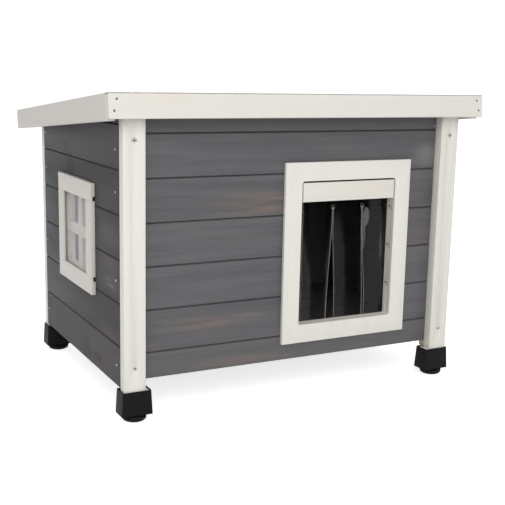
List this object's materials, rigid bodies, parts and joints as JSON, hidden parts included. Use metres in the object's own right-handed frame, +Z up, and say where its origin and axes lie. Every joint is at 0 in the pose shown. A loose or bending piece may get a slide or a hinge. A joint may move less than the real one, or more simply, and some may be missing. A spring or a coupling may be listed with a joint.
{
  "type": "outdoor cat house",
  "caption": "Wooden outdoor cat house with grey board walls, white frame and posts, hinged sloping roof, clear strip curtain in the doorway, side window and levelling feet.",
  "frame": {"origin": "on the ground under the middle of the roof", "axes": "+X to the right seen from the front, +Y from the front to the rear, +Z up"},
  "size_m": [0.57, 0.45, 0.425],
  "materials": {
    "grey_boards": "grey translucent stain over softwood boards, brown grain showing through",
    "white_wood": "thin off-white paint over softwood",
    "bare_wood": "bare planed softwood",
    "clear_curtain": "clear flexible sheet, glossy",
    "clear_pane": "clear acrylic sheet, glossy",
    "black_plastic": "moulded, fine matt texture",
    "roofing_felt": "mineral roofing felt, granular",
    "zinc": "zinc plated steel"
  },
  "bodies": {
    "house": {"front_boards": "grey_boards", "rear_boards": "grey_boards", "left_boards": "grey_boards", "right_boards": "grey_boards", "post_front_left": "white_wood", "post_front_right": "white_wood", "post_rear_left": "white_wood", "post_rear_right": "white_wood", "corner_battens": "bare_wood", "wall_cleats": "grey_boards", "floor_boards": "grey_boards", "floor_bearers": "grey_boards", "door_frame": "white_wood", "door_studs": "grey_boards", "door_header": "white_wood", "curtain_rail": "grey_boards", "curtain_band": "clear_curtain", "window_rail_top": "white_wood", "window_rail_bottom": "white_wood", "window_stile_front": "white_wood", "window_stile_rear": "white_wood", "window_pane": "clear_pane", "glazing_bar_upright": "white_wood", "glazing_bar_cross": "white_wood", "foot_caps": "black_plastic", "leg_packers": "white_wood", "hinge_leaves_fixed": "zinc", "hinge_pins": "zinc", "post_screws": "zinc", "wall_nails": "zinc", "hinge_screws_fixed": "zinc"},
    "roof": {"roof_fascia_front": "white_wood", "roof_fascia_left": "white_wood", "roof_fascia_right": "white_wood", "roof_boards": "bare_wood", "roof_felt": "roofing_felt", "roof_battens": "grey_boards", "hinge_leaves_moving": "zinc", "fascia_nails": "zinc", "hinge_screws_moving": "zinc"},
    "strip_left": {"curtain_strip_left": "clear_curtain"},
    "strip_middle": {"curtain_strip_middle": "clear_curtain"},
    "strip_right": {"curtain_strip_right": "clear_curtain"},
    "glide_front_left": {"glide_front_left": "black_plastic"},
    "glide_front_right": {"glide_front_right": "black_plastic"},
    "glide_rear_left": {"glide_rear_left": "black_plastic"},
    "glide_rear_right": {"glide_rear_right": "black_plastic"}
  },
  "joints": [
    {"name": "roof_lift", "type": "hinge", "parent": "house", "child": "roof", "pos_m": [0, 0.17405, 0.37464], "axis": [-1, 0, 0], "range_deg": [0, 85]},
    {"name": "strip_left_swing", "type": "hinge", "parent": "house", "child": "strip_left", "pos_m": [0, -0.1895, 0.2668], "axis": [1, 0, 0], "range_deg": [-75, 75]},
    {"name": "strip_middle_swing", "type": "hinge", "parent": "house", "child": "strip_middle", "pos_m": [0, -0.1895, 0.2668], "axis": [1, 0, 0], "range_deg": [-75, 75]},
    {"name": "strip_right_swing", "type": "hinge", "parent": "house", "child": "strip_right", "pos_m": [0, -0.1895, 0.2668], "axis": [1, 0, 0], "range_deg": [-75, 75]},
    {"name": "glide_front_left_adjust", "type": "slide", "parent": "house", "child": "glide_front_left", "axis": [0, 0, -1], "range_m": [0, 0.008]},
    {"name": "glide_front_right_adjust", "type": "slide", "parent": "house", "child": "glide_front_right", "axis": [0, 0, -1], "range_m": [0, 0.008]},
    {"name": "glide_rear_left_adjust", "type": "slide", "parent": "house", "child": "glide_rear_left", "axis": [0, 0, -1], "range_m": [0, 0.008]},
    {"name": "glide_rear_right_adjust", "type": "slide", "parent": "house", "child": "glide_rear_right", "axis": [0, 0, -1], "range_m": [0, 0.008]}
  ]
}
